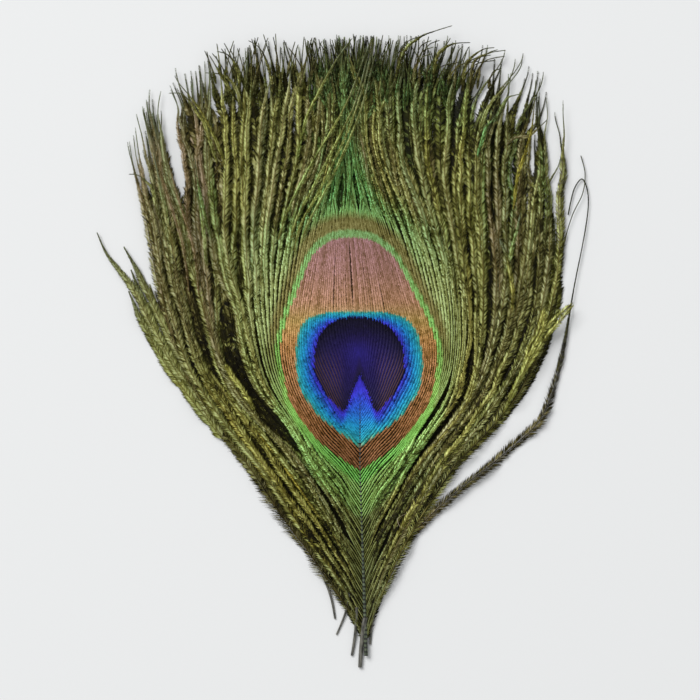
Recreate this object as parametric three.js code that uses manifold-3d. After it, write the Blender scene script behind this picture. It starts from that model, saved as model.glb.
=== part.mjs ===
// A trimmed peacock eye feather, lying face up on a flat surface. It grew as one piece: a
// tapering shaft carries a row of barbs on each side, which run up round the eye and part into
// locks towards their tips. Millimetres, +Z up. The origin is under the middle of the eye, on
// the surface; the cut end of the shaft points to -Y and the fringe to +Y.
import * as THREE from "three";
import { mergeVertices } from "three/addons/utils/BufferGeometryUtils.js";
import Module from "manifold-3d";

// The shaft: from its cut end to where it fades out inside the eye.
const SHAFT_CUT_Y = -59.5;
const SHAFT_TIP_Y = -6.5;
const SHAFT_CUT_RADIUS = 0.75;
const SHAFT_TIP_RADIUS = 0.3;
const SHAFT_CENTRE_Z = 0.95;

// The feather's middle line swings a little to one side below the eye and to the other above it.
const SWING_BELOW = 1.2;
const SWING_BELOW_FROM_Y = -23;
const SWING_ABOVE = -2.4;
const SWING_ABOVE_FROM_Y = -9;
const SWING_ABOVE_TO_Y = 40;

// Barbs of one side, from the lowest and outermost to the one straight above the shaft. Each runs
// from its root on the shaft to its tip, as [distance from the middle line, Y].
const LEADING_BARBS = [
  [[0, -56.5], [6.3, -42.5], [19.5, -25], [33, -7], [39, 12], [41.5, 29], [43, 46]],
  [[0, -53], [5.5, -41], [15.5, -24.5], [27.5, -5.5], [32.5, 14], [34.5, 32], [37.5, 50]],
  [[0, -47.5], [4.9, -37], [13, -23], [22.8, -3.5], [26, 16], [26.8, 35], [29, 54]],
  [[0, -40.5], [4.3, -32], [11.4, -21], [19, -2.5], [20.4, 18], [20.3, 39.5], [21.8, 59]],
  [[0, -33.5], [3.9, -27.5], [9.8, -18.5], [16.3, -2.5], [15.7, 19], [14, 41.5], [14.8, 61.5]],
  [[0, -26], [3.3, -21.2], [8.6, -15], [14, -1.2], [10.2, 21], [5.5, 41.5], [7.4, 62.3]],
  [[0, -17.3], [2.9, -13.7], [6.2, -7.8], [9.4, 2.4], [4.6, 24], [2.2, 41.5], [3.6, 62.8]],
  [[0, -6.5], [0, -3.5], [0, 1.4], [0, 10.2], [0, 27.5], [0, 41.6], [0, 63]],
];

// Locks: the bundles that the barbs part into.
const LOCKS_A_SIDE = 30;
const LOCK_STEPS = 15;
const FIRST_PARTING = 0.56; // share of a barb's course at which the outermost locks part
const LAST_PARTING = 0.9; // the same for the locks straight above the eye
const LOCK_TIP_THICKNESS = 0.35;
const SHORTEST_REACH = 0.86; // of the parted length, because the tips end unevenly

// The thickness of the vane: thin at the rim, fuller under the eye, ridged along each lock.
const RIM_THICKNESS = 1.0;
const EYE_RISE = 1.3;
const EYE_RISE_HALF_WIDTH = 17;
const EYE_RISE_HALF_LENGTH = 30;
const RIDGE_HEIGHT = 0.4;
const EYE_HALF_WIDTH = 16; // inside the eye the barbs are zipped flat
const EYE_HALF_LENGTH = 24;

// Single barbs that stand clear of the vane, as [X, Y] from inside the vane to the tip.
const STRAY_BARBS = [
  [[-27, -16.5], [-36.5, -3], [-41.5, 6.5], [-45.2, 13.5], [-49.5, 19], [-51.5, 23.3]],
  [[-26, -15], [-34, -3], [-39.5, 7], [-42.5, 13.5], [-46.2, 20.5]],
  [[-27, -15], [-36.5, -2], [-41.5, 7.5], [-44.8, 16]],
  [[-27, -17], [-37, -4], [-42, 4.5], [-45.3, 11.8]],
  [[1, -46], [7.8, -34.9], [22.6, -24.1], [34.3, -13.9], [39.2, 0.4], [42.2, 13.1], [44.7, 27.9],
    [43.8, 33.7], [42, 32], [40.8, 27]],
  [[39, 18], [41.5, 26.5], [43.6, 31], [44.1, 35], [43.3, 38.4]],
];
const STRAY_HALF_WIDTH = 0.8;
const STRAY_TIP_HALF_WIDTH = 0.2;
const STRAY_HALF_THICKNESS = 0.3;
const STRAY_STEP = 4.5; // distance between a stray barb's rings

// Bare feet of barbs that the trimming cut loose from the shaft, as [X, Y] from top to end.
const BARE_FEET = [
  [[-5.6, -44], [-3.6, -51]],
  [[-2, -47], [-4.6, -55.4]],
  [[-0.6, -50], [-1.6, -59.5]],
  [[1, -52], [0, -61.8]],
  [[3, -50], [2, -57.3]],
];
const FOOT_RADIUS = 0.3;
const FOOT_CENTRE_Z = 0.6;

const ROUND_SIDES = 8;

const { smoothstep, lerp } = THREE.MathUtils;

function middleLineX(y) {
  const below = Math.max(0, (SWING_BELOW_FROM_Y - y) / (SWING_BELOW_FROM_Y - SHAFT_CUT_Y));
  const above = smoothstep(y, SWING_ABOVE_FROM_Y, SWING_ABOVE_TO_Y);
  return SWING_BELOW * below + SWING_ABOVE * above;
}

// A repeatable number from 0 to 1 for each lock, for the uneven lengths.
function scatter(index) {
  const wave = Math.sin(index * 12.9898) * 43758.5453;
  return wave - Math.floor(wave);
}

// The course of the barb at share u of the way from the outermost (0) to the middle (1).
const stations = LEADING_BARBS[0].map(
  (_, station) =>
    new THREE.CatmullRomCurve3(
      LEADING_BARBS.map((barb) => new THREE.Vector3(...barb[station], 0)),
    ),
);

function barbCourse(u) {
  const points = stations.map((curve) => curve.getPoint(u));
  return new THREE.CatmullRomCurve3(points);
}

function pointOnSide(course, share, side) {
  const p = course.getPoint(share);
  return new THREE.Vector3(middleLineX(p.y) + side * p.x, p.y, 0);
}

// How far inside the eye a point is: 1 at its middle, 0 outside it.
function insideEye(p) {
  return 1 - smoothstep(Math.hypot(p.x / EYE_HALF_WIDTH, p.y / EYE_HALF_LENGTH), 0.8, 1.15);
}

function vaneHeight(p) {
  const away = (p.x / EYE_RISE_HALF_WIDTH) ** 2 + (p.y / EYE_RISE_HALF_LENGTH) ** 2;
  return RIM_THICKNESS + EYE_RISE * Math.exp(-away);
}

function ridgeHeight(p) {
  return RIDGE_HEIGHT * (1 - 0.8 * insideEye(p));
}

// Collects triangles, leaving out those that a tip or a root has closed up.
class Surface {
  corners = [];

  triangle(a, b, c) {
    if (a.distanceTo(b) < 1e-6 || b.distanceTo(c) < 1e-6 || c.distanceTo(a) < 1e-6) return;
    this.corners.push(...a, ...b, ...c);
  }

  quad(a, b, c, d) {
    this.triangle(a, b, c);
    this.triangle(a, c, d);
  }

  geometry() {
    const positions = new THREE.Float32BufferAttribute(this.corners, 3);
    return new THREE.BufferGeometry().setAttribute("position", positions);
  }
}

// One lock, between two neighbouring partings: a ridged top, a flat underside and, where it has
// parted from its neighbour, a wall down each side.
function addLock(surface, index, side) {
  const shares = Array.from({ length: LOCK_STEPS + 1 }, (_, i) => i / LOCK_STEPS);
  const partingStep = (u) => Math.round(LOCK_STEPS * lerp(FIRST_PARTING, LAST_PARTING, u));
  const outerU = index / LOCKS_A_SIDE;
  const innerU = (index + 1) / LOCKS_A_SIDE;
  const outer = { course: barbCourse(outerU), step: partingStep(outerU) };
  const inner = { course: barbCourse(innerU), step: partingStep(innerU) };
  const ridge = barbCourse((outerU + innerU) / 2);
  const lastJoined = Math.max(outer.step, inner.step);
  const reach = lerp(SHORTEST_REACH, 1, scatter(index + side));

  const rows = shares.map((share, i) => {
    const from = shares[lastJoined];
    const along = i <= lastJoined ? share : from + (share - from) * reach;
    const crest = pointOnSide(ridge, along, side);
    const edges = [outer, inner].map(({ course, step }) => {
      const parted = Math.max(0, (i - step) / (LOCK_STEPS - step));
      const width = (1 - parted) ** 0.7;
      const low = crest.clone().lerp(pointOnSide(course, along, side), width);
      const high = low.clone();
      high.z = lerp(LOCK_TIP_THICKNESS, vaneHeight(low), width);
      return { low, high };
    });
    const slimming = Math.max(0, (i - lastJoined) / (LOCK_STEPS - lastJoined));
    crest.z = lerp(vaneHeight(crest) + ridgeHeight(crest), LOCK_TIP_THICKNESS, slimming);
    return { crest, outer: edges[0], inner: edges[1] };
  });

  const quad = (a, b, c, d) => (side < 0 ? surface.quad(a, b, c, d) : surface.quad(d, c, b, a));
  rows.slice(1).forEach((next, i) => {
    const row = rows[i];
    quad(row.outer.high, row.crest, next.crest, next.outer.high);
    quad(row.crest, row.inner.high, next.inner.high, next.crest);
    quad(row.inner.low, row.outer.low, next.outer.low, next.inner.low);
    if (i >= outer.step || index === 0)
      quad(row.outer.low, row.outer.high, next.outer.high, next.outer.low);
    if (i >= inner.step) quad(row.inner.high, row.inner.low, next.inner.low, next.inner.high);
  });
}

function vane() {
  const surface = new Surface();
  for (const side of [-1, 1])
    for (let index = 0; index < LOCKS_A_SIDE; index++) addLock(surface, index, side);
  return surface.geometry();
}

// A closed rod of oval section along a curve, with its half width and half thickness given along it.
function rod(curve, steps, halfWidthAt, halfThicknessAt) {
  const surface = new Surface();
  const rings = Array.from({ length: steps + 1 }, (_, i) => {
    const share = i / steps;
    const centre = curve.getPointAt(share);
    const across = curve.getTangentAt(share).cross(new THREE.Vector3(0, 0, 1)).normalize();
    const ring = Array.from({ length: ROUND_SIDES }, (_, k) => {
      const turn = (2 * Math.PI * k) / ROUND_SIDES;
      const offset = across.clone().multiplyScalar(Math.cos(turn) * halfWidthAt(share));
      offset.z = Math.sin(turn) * halfThicknessAt(share);
      return centre.clone().add(offset);
    });
    return { centre, ring };
  });
  for (let k = 0; k < ROUND_SIDES; k++) {
    const next = (k + 1) % ROUND_SIDES;
    for (let i = 0; i < steps; i++) {
      const [here, there] = [rings[i].ring, rings[i + 1].ring];
      surface.quad(here[k], there[k], there[next], here[next]);
    }
    surface.triangle(rings[0].centre, rings[0].ring[k], rings[0].ring[next]);
    surface.triangle(rings[steps].centre, rings[steps].ring[next], rings[steps].ring[k]);
  }
  return surface.geometry();
}

function shaft() {
  const spots = [0, 0.25, 0.5, 0.75, 1].map((share) => {
    const y = lerp(SHAFT_CUT_Y, SHAFT_TIP_Y, share);
    return new THREE.Vector3(middleLineX(y), y, lerp(SHAFT_CENTRE_Z, vaneHeight({ x: 0, y }), share));
  });
  const radius = (share) => lerp(SHAFT_CUT_RADIUS, SHAFT_TIP_RADIUS, share);
  return rod(new THREE.CatmullRomCurve3(spots), 12, radius, radius);
}

function strayBarb(points) {
  const lift = STRAY_HALF_THICKNESS + 0.05;
  const curve = new THREE.CatmullRomCurve3(points.map(([x, y]) => new THREE.Vector3(x, y, lift)));
  const halfWidth = (share) => lerp(STRAY_HALF_WIDTH, STRAY_TIP_HALF_WIDTH, share ** 0.6);
  const halfThickness = (share) => lerp(STRAY_HALF_THICKNESS, STRAY_TIP_HALF_WIDTH, share);
  return rod(curve, Math.ceil(curve.getLength() / STRAY_STEP), halfWidth, halfThickness);
}

function bareFoot([top, end]) {
  const curve = new THREE.LineCurve3(
    new THREE.Vector3(...top, FOOT_CENTRE_Z),
    new THREE.Vector3(...end, FOOT_CENTRE_Z),
  );
  const radius = () => FOOT_RADIUS;
  return rod(curve, 1, radius, radius);
}

const wasm = await Module();
wasm.setup();

function solidOf(geometry) {
  const merged = mergeVertices(geometry, 1e-3);
  return new wasm.Manifold(
    new wasm.Mesh({
      numProp: 3,
      vertProperties: merged.attributes.position.array,
      triVerts: new Uint32Array(merged.index.array),
    }),
  );
}

function geometryOf(solid) {
  const { vertProperties, triVerts } = solid.getMesh();
  const geometry = new THREE.BufferGeometry()
    .setAttribute("position", new THREE.BufferAttribute(vertProperties, 3))
    .setIndex(new THREE.BufferAttribute(triVerts, 1));
  geometry.computeVertexNormals();
  return geometry;
}

// Everything grew together, so the pieces are joined in one solid.
const grown = [shaft(), ...STRAY_BARBS.map(strayBarb), ...BARE_FEET.map(bareFoot)]
  .map(solidOf)
  .reduce((whole, piece) => whole.add(piece), solidOf(vane()));

const barbMaterial = new THREE.MeshStandardMaterial({
  color: 0x5b5833,
  roughness: 0.55,
  metalness: 0.2,
});

const feather = new THREE.Mesh(geometryOf(grown), barbMaterial);
feather.name = "feather";

const part = new THREE.Group();
part.add(feather);

export default part;
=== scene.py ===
import bpy
import numpy as np
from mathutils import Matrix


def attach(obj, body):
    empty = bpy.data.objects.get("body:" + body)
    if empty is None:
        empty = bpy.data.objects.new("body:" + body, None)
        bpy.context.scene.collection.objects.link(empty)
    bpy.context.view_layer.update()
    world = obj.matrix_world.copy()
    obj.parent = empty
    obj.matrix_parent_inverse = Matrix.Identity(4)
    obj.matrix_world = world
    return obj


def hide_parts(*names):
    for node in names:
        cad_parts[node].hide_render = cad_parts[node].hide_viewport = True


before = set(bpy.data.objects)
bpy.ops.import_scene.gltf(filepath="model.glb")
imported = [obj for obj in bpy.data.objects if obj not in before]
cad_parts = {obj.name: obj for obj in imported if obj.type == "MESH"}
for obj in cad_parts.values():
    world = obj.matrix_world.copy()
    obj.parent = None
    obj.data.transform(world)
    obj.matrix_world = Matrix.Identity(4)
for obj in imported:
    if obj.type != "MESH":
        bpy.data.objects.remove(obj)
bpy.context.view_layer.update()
bpy.ops.object.select_all(action="DESELECT")

# ---- Studio ----
# The feather lies face up on a sheet of matt white board, under a wide soft lamp to the upper left
# and pale walls all round. The camera looks straight down on it.

MM = 0.001


def linear_colour(srgb_hex):
    """The linear RGBA of an sRGB colour written as hex."""
    parts = [int(srgb_hex[i : i + 2], 16) / 255 for i in (0, 2, 4)]
    return [p / 12.92 if p <= 0.04045 else ((p + 0.055) / 1.055) ** 2.4 for p in parts] + [1]


def add_node(tree, kind, inputs=(), stops=(), **settings):
    """A new node with its settings, its inputs set or linked, and the stops of its colour ramp."""
    node = tree.nodes.new("ShaderNode" + kind)
    for name, value in settings.items():
        setattr(node, name, value)
    for socket, value in dict(inputs).items():
        if isinstance(value, bpy.types.NodeSocket):
            tree.links.new(value, node.inputs[socket])
        else:
            node.inputs[socket].default_value = value
    for number, (place, srgb_hex) in enumerate(stops):
        elements = node.color_ramp.elements
        stop = elements[number] if number < 2 else elements.new(place)
        stop.position = place
        stop.color = linear_colour(srgb_hex)
    return node


def new_material(name):
    """A new material, its node tree and its Principled shader."""
    material = bpy.data.materials.new(name)
    material.use_nodes = True
    return material, material.node_tree, material.node_tree.nodes["Principled BSDF"]


CAMERA_HEIGHT = 600 * MM
PICTURE_WIDTH = 137.3 * MM
PICTURE_CENTRE = (-1.96 * MM, 0.39 * MM)
bpy.ops.object.camera_add(location=(*PICTURE_CENTRE, CAMERA_HEIGHT), rotation=(0, 0, 0))
camera = bpy.context.object
camera.data.lens = camera.data.sensor_width * CAMERA_HEIGHT / PICTURE_WIDTH
bpy.context.scene.camera = camera
bpy.context.scene.view_settings.view_transform = "Standard"

LAMP_PLACE = (-1400 * MM, 1540 * MM, 2240 * MM)
LAMP_SIZE = 1600 * MM
LAMP_WATTS = 77.0
WALL_LIGHT = 0.46
bpy.ops.object.light_add(type="AREA", location=LAMP_PLACE)
lamp = bpy.context.object
lamp.data.size = LAMP_SIZE
lamp.data.energy = LAMP_WATTS
lamp.rotation_euler = (-lamp.location).to_track_quat("-Z", "Y").to_euler()
world = bpy.data.worlds.new("pale walls")
bpy.context.scene.world = world
world.use_nodes = True
world.node_tree.nodes["Background"].inputs["Color"].default_value = linear_colour("f8f9fa")
world.node_tree.nodes["Background"].inputs["Strength"].default_value = WALL_LIGHT

BOARD_WIDTH = 3000 * MM
BOARD_ROUGHNESS = 0.9
BOARD_SPECULAR = 0.2
bpy.ops.mesh.primitive_plane_add(size=BOARD_WIDTH, location=(0, 0, 0))
board = bpy.context.object
board.name = "board"
# Coated paper board: matt, almost white, with no grain that shows at this distance.
coated_board, tree, shader = new_material("coated paper board")
shader.inputs["Base Color"].default_value = linear_colour("ebecec")
shader.inputs["Roughness"].default_value = BOARD_ROUGHNESS
shader.inputs["Specular IOR Level"].default_value = BOARD_SPECULAR
board.data.materials.append(coated_board)

# ---- Shaft ----
# The feather's own shaft is a tapering rod of solid keratin that grew as one with its barbs. It
# runs up the middle of the vane from the cut end, and thins out to nothing in the notch of the eye.

# Lengths and places are in millimetres until a mesh is made or a material reads them.
SHAFT_CUT = -59.5
SHAFT_END = -6.5
SHAFT_RADIUS = 0.4
SHAFT_END_RADIUS = 0.12
SHAFT_RISE = 0.2  # how much further it stands out of the vane at the cut end
SHAFT_RINGS = 30
BARB_SPACING = 0.85  # between the roots of neighbouring barbs on the shaft
LEAN_START = -23  # below this Y the shaft leans to the right
CUT_LEAN = 1.2  # how far to the right it is at the cut
TOP_LEAN = 2.4  # how far to the left the middle of the fringe is
RIM_HEIGHT = 1.0  # of the vane's face, which is a dome's height higher over the eye
DOME_HEIGHT = 1.3
DOME_HALF_WIDTH = 17
DOME_HALF_LENGTH = 30
ROD_CORNERS = 10
ROD_EDGE_ANGLE = 1.0
WAVE_LENGTH = 0.314  # of a wave texture of scale 1, in metres
STREAK_WIDTH = 0.35
STREAK_DEPTH = 0.06
ROD_ROUGHNESS = 0.42
KERATIN_IOR = 1.55


def rise(value, start, end):
    """0 before start, 1 after end, and an S-shaped rise between."""
    share = np.clip((value - start) / (end - start), 0, 1)
    return share * share * (3 - 2 * share)


def fall(value, start, end):
    """1 before start, 0 after end, and an S-shaped fall between."""
    return 1 - rise(value, start, end)


def middle_line(y):
    """X of the feather's middle line, which swings a little to each side."""
    below = np.clip((LEAN_START - y) / (LEAN_START - SHAFT_CUT), 0, None)
    return CUT_LEAN * below - TOP_LEAN * rise(y, -9, 40)


def vane_height(x, y):
    """How high the face of the vane lies: it is a shallow dome."""
    dome = np.exp(-((x / DOME_HALF_WIDTH) ** 2 + (y / DOME_HALF_LENGTH) ** 2))
    return RIM_HEIGHT + DOME_HEIGHT * dome


def dress(piece, material):
    """Gives a piece its material, ties it to the feather's body, and hides the feather's imported
    part.
    """
    piece.data.materials.append(material)
    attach(piece, "root")
    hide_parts("feather")


def round_rod(name, course, radii):
    """A tapering rod: a disc pulled along its course ring by ring, each ring scaled as it goes."""
    course = np.asarray(course) * MM
    bpy.ops.mesh.primitive_circle_add(
        vertices=ROD_CORNERS, radius=radii[0] * MM, fill_type="NGON", location=course[0],
        rotation=(np.pi / 2, 0, 0),
    )
    rod = bpy.context.object
    rod.name = name
    bpy.ops.object.transform_apply(location=True, rotation=True, scale=True)
    bpy.ops.object.mode_set(mode="EDIT")
    bpy.ops.mesh.select_all(action="SELECT")
    for here, there, old, new in zip(course, course[1:], radii, radii[1:]):
        step = tuple(there - here)
        bpy.ops.mesh.extrude_region_move(TRANSFORM_OT_translate={"value": step})
        bpy.ops.transform.resize(value=(new / old,) * 3, center_override=tuple(there))
    bpy.ops.mesh.select_all(action="SELECT")
    bpy.ops.mesh.normals_make_consistent(inside=False)
    bpy.ops.object.mode_set(mode="OBJECT")
    bpy.ops.object.shade_smooth_by_angle(angle=ROD_EDGE_ANGLE)
    bpy.ops.object.select_all(action="DESELECT")
    return rod


def remap(tree, value, lowest, highest, start=0.0, end=1.0):
    """A value that runs from lowest to highest, made to run from start to end."""
    inputs = {0: value, 1: lowest, 2: highest, 3: start, 4: end}
    return add_node(tree, "MapRange", inputs).outputs["Result"]


def ramp(tree, value, lowest, highest, stops):
    """Colours along a value that runs from lowest to highest."""
    share = remap(tree, value, lowest, highest)
    return add_node(tree, "ValToRGB", {"Fac": share}, stops).outputs["Color"]


def blend(tree, share, under, over, kind="MIX"):
    """One colour laid over another by a share."""
    inputs = {0: share, 6: under, 7: over}
    return add_node(tree, "Mix", inputs, data_type="RGBA", blend_type=kind).outputs[2]


def rod_keratin(name, dark, light, tints=()):
    """Rod keratin: smooth, faintly glossy and streaked along its length, where the pith shows."""
    material, tree, shader = new_material(name)
    place = add_node(tree, "TexCoord").outputs["Object"]
    drawn_out = add_node(tree, "Mapping", {"Vector": place, "Scale": (1, 0.25, 1)})
    pattern = {"Vector": drawn_out.outputs[0], "Scale": 1 / (STREAK_WIDTH * MM)}
    streaks = add_node(tree, "TexNoise", pattern).outputs["Fac"]
    stops = [(0.35, dark), (0.65, light)]
    colour = add_node(tree, "ValToRGB", {"Fac": streaks}, stops).outputs["Color"]
    if tints:
        along = add_node(tree, "SeparateXYZ", {0: place}).outputs["Y"]
        tint = ramp(tree, along, SHAFT_CUT * MM, SHAFT_END * MM, tints)
        colour = blend(tree, 1.0, colour, tint, "MULTIPLY")
        # The barbs' ends show on it as a row of dark dots, one for each.
        every = {"Vector": place, "Scale": WAVE_LENGTH / (BARB_SPACING * MM), "Distortion": 0.6}
        rows = add_node(tree, "TexWave", every, bands_direction="Y").outputs["Fac"]
        stops = [(0.3, "3c4034"), (0.55, "ffffff")]
        dots = add_node(tree, "ValToRGB", {"Fac": rows}, stops).outputs["Color"]
        colour = blend(tree, 1.0, colour, dots, "MULTIPLY")
    tree.links.new(colour, shader.inputs["Base Color"])
    relief = {"Height": streaks, "Strength": 0.4, "Distance": STREAK_DEPTH * MM}
    bump = add_node(tree, "Bump", relief).outputs["Normal"]
    tree.links.new(bump, shader.inputs["Normal"])
    shader.inputs["Roughness"].default_value = ROD_ROUGHNESS
    shader.inputs["IOR"].default_value = KERATIN_IOR
    return material


shaft_y = np.linspace(SHAFT_CUT, SHAFT_END, SHAFT_RINGS)
shaft_radii = np.linspace(SHAFT_RADIUS, SHAFT_END_RADIUS, SHAFT_RINGS)
shaft_rise = SHAFT_RISE * rise(-shaft_y, 34, 46)
shaft_course = np.stack(
    [middle_line(shaft_y), shaft_y, vane_height(0, shaft_y) - 0.8 * shaft_radii + shaft_rise], 1
)
shaft = round_rod("shaft", shaft_course, shaft_radii)
# It is pale and greenish at the cut, and slate to violet blue where it nears the eye.
shaft_tints = [
    (0.0, "b9bba8"), (0.6, "b0c0a4"), (0.69, "8a8a80"), (0.76, "6a7c9a"), (1.0, "4a5cb4"),
]
dress(shaft, rod_keratin("shaft keratin", "4f584c", "929c88", shaft_tints))

# ---- Bare feet ----
# At the cut end the lowest barbs are stripped of their barbules. What is left of each is its bare
# slate-coloured stem, a short stick that stands out from under the vane, with the shaft's own end.

FOOT_RINGS = 9
FOOT_LIFT = 0.55  # how high it starts under the vane, before it comes down to the board
# Each foot: where it leaves the vane, where it ends, its bend and its radius.
BARE_FEET = [
    ((-7.4, -43.5), (-4.9, -52.3), 0.4, 0.24),
    ((-2.0, -47), (-4.6, -55.4), 0.4, 0.22),
    ((-0.6, -50), (-1.6, -59.5), 0.2, 0.3),
    ((1.0, -52), (0.0, -61.8), -0.15, 0.46),
    ((3.0, -50), (2.0, -57.3), -0.2, 0.24),
]
feet = []
for top, end, bend, radius in BARE_FEET:
    share = np.linspace(0, 1, FOOT_RINGS)
    course = np.stack(
        [
            top[0] + (end[0] - top[0]) * share + bend * np.sin(np.pi * share),
            top[1] + (end[1] - top[1]) * share,
            radius + FOOT_LIFT * fall(share, 0, 0.9),
        ],
        1,
    )
    feet.append(round_rod("bare_feet", course, radius * (1.15 - 0.3 * share)))
for foot in feet:
    foot.select_set(True)
bpy.context.view_layer.objects.active = feet[0]
bpy.ops.object.join()
bare_feet = bpy.context.object
bare_feet.name = "bare_feet"
bpy.ops.object.select_all(action="DESELECT")
dress(bare_feet, rod_keratin("stripped barb stem", "34342f", "6e6c62"))

# ---- Under barbs ----
# Barbs are flat keratin strips that grow from both sides of the shaft, each fringed with short flat
# barbules. The lower layer of them lies in shadow, which is painted into its colour as dark shade:
# it backs the gaps between the barbs that show.

# Leading barbs of each side, from the lowest to the one straight above the shaft. Each runs from
# its root on the shaft to its tip, as (distance from the middle line, Y). The eye's are alike on
# both sides, and the barbs in between follow these.
OUTER_BARBS = {
    -1: [
        [(0, -56.5), (8, -42.5), (20.3, -25), (33.2, -7), (39, 10), (41.2, 25), (42.8, 40.5)],
        [(0, -53), (7, -41), (18, -24.5), (30, -6.5), (35.5, 12), (38.3, 29), (40.8, 46)],
        [(0, -47.5), (5.8, -37.2), (15.5, -22.5), (26.8, -6), (31.8, 12), (34.8, 31), (37.6, 49.5)],
        [(0, -41), (4.6, -32.5), (12.5, -19.5), (23.5, -6), (27.2, 11), (29, 33), (31.6, 55.5)],
        [(0, -33.5), (4, -26.8), (10.6, -17), (18.2, -3), (19.2, 17), (17.3, 39), (18, 60)],
    ],
    1: [
        [(0, -56.5), (5.5, -42.5), (16.9, -25), (32.4, -7.5), (40, 12), (42.3, 30), (42.9, 49)],
        [(0, -53), (5, -41.3), (15.2, -24.5), (28, -6), (35.5, 13), (38.5, 33), (40, 52)],
        [(0, -47.5), (4.6, -37), (12.9, -22.5), (24, -5.5), (30, 14), (32, 34), (33.5, 55.5)],
        [(0, -41), (4.4, -32.5), (11, -21.5), (19.8, -8.5), (23, 10), (22.5, 33), (23.8, 59.5)],
        [(0, -33.5), (4, -26.8), (10.3, -17), (17.4, -3), (17.6, 18), (12.4, 40), (11.5, 61.8)],
    ],
}
EYE_BARBS = [
    [(0, -26), (3.3, -21.2), (8.6, -15), (14, -1.2), (10.8, 20), (5, 42), (6.8, 61.5)],
    [(0, -17.3), (2.9, -13.7), (6.2, -7.8), (9.4, 2.4), (5.9, 21), (1.9, 42), (3.2, 61.8)],
    [(0, -6.5), (0, -3.5), (0, 1.4), (0, 10.2), (0, 27.5), (0, 41.6), (0, 62)],
]

# Outlines of the eye's bands, from inside out, for the right half, as (X, Y) from the bottom up.
HEART = [(0, -4.3), (1, -6.5), (1.7, -8.4), (2.6, -11), (3.5, -11.6), (5.1, -10), (6.6, -8.4),
         (7.8, -6.5), (8.6, -4.5), (8.8, -2), (8.6, 0.4), (8, 2.4), (6.7, 4.3), (4.7, 5.9),
         (2.4, 6.7), (0, 6.9)]
BLUE = [(0, -18.6), (1, -17.9), (3.1, -16.3), (5.9, -14.3), (8.2, -12.4), (10, -10),
        (11.6, -7.5), (12.2, -4.5), (12.4, -1.6), (12.1, 1.4), (11.3, 4.3), (9.8, 6.3),
        (7.8, 7.1), (4.9, 7.7), (0, 7.7)]
COPPER = [(0, -23.2), (2.2, -21.8), (5.1, -19.8), (8.2, -17.3), (10.2, -14.9), (12, -12.4),
          (13.3, -10.4), (14.3, -7.5), (14.9, -4.5), (15.4, -1.6), (15.3, 1.4), (13.8, 6.3),
          (12.1, 10.2), (10.3, 14.1), (8.6, 17.7), (6.8, 20), (3.9, 22), (0, 22.6)]
# Widths outside the copper, as (bearing in degrees from +X, millimetres).
GREEN_LINE = [(-90, 2.6), (-60, 1.7), (-30, 1.0), (0, 0.9), (40, 1.0), (90, 1.3)]
BRONZE_BAND = [(-90, 6.5), (-60, 3.5), (-30, 2.0), (0, 1.7), (40, 2.0), (65, 2.8), (90, 3.3)]
PLUME_RING = 2.0  # millimetres for each further step of the ring number outside the bands
OUTLINE_POINTS = 200
# By the ring number, as (ring, value): how light the barbules are, how much their grain varies, and
# how much darker painted shade makes their ends, which draws dark lines in the gaps between barbs.
SHADE_BY_RING = [(0, 0.8), (0.6, 0.76), (0.98, 0.7), (1.02, 0.76), (1.5, 0.84), (2, 0.86),
                 (2.03, 0.78), (3, 0.78), (3.03, 0.86), (5.5, 0.92), (8, 0.87)]
GRAIN_BY_RING = [(0, 0.05), (1, 0.06), (1.1, 0.23), (2, 0.15), (5, 0.18), (8, 0.19)]
END_SHADE_BY_RING = [(0, 0.05), (1, 0.08), (1.1, 0.24), (2, 0.3), (2.1, 0.4), (4.5, 0.5), (6, 0.84),
                (9, 0.9)]
# Neighbouring barbs hang together in locks: how many there are up to a share of the roots.
LOCKS = [(0, 0), (0.43, 6), (0.72, 15), (1, 24)]

# Partings between neighbouring barbs: the side, the root's Y they run up from, their lowest and
# highest Y, how far each edge is pushed away, how many millimetres of roots feel it, and whether
# the board shows through, and not only the under barbs.
PARTINGS = [
    (-1, -40, -24, 19, 1.9, 3.0, False),
    (-1, -48, -12, 22, 1.3, 2.4, False),
    (-1, -52.5, -20, 8, 0.4, 1.6, False),
    (-1, -36.5, 20, 41, 0.4, 2.0, False),
    (-1, -44.6, 26, 55, 1.8, 2.8, True),
    (-1, -42.8, 39, 48, 0.6, 1.6, True),
    (-1, -38.5, 42, 48.5, 0.6, 1.6, True),
    (1, -41, -34, 4, 1.0, 2.4, False),
    (1, -46, -30, -8, 0.5, 1.8, False),
    (1, -35.5, -26, -2, 0.4, 1.6, False),
    (1, -40, 26, 38, 0.3, 1.8, False),
    (1, -50.3, 33, 46, 1.0, 1.8, True),
    (1, -54.4, 30, 47, 1.2, 1.6, True),
    (1, -47.5, 31, 40, 0.6, 1.5, True),
    (-1, -7.6, 7, 24, 0.21, 0.9, False),
    (1, -6.5, 8, 23, 0.12, 1.2, False),
    (-1, -12.2, 6, 23, 0.1, 0.5, False),
    (-1, -9.2, 9, 17, 0.08, 0.4, False),
    (1, -12.9, 7, 15, 0.1, 0.5, False),
    (1, -9.5, 12, 20, 0.07, 0.4, False),
]

SIDES = ((-1, "left"), (1, "right"))
LOWEST_ROOT = -56
HIGHEST_ROOT = -6.6
COURSE_POINTS = 160
HEIGHT_LIMITS = (0.2, 3.2)
FLOOR_CLEARANCE = 0.03
STEM_EVERY = 4  # barbules for each ring of the barb's own stem
STEM_HALF_WIDTH = 0.085
STEM_HEIGHT = 0.05
GLOSS_GRAIN = 0.3
BARB_ROUGHNESS = (0.38, 0.62)
BARB_METALLIC = 0.25
BARB_SPECULAR = 0.12
BARBULE_TAPER = (0.86, 0.98)  # the share of a barb along which its barbules shorten to stubs


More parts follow.
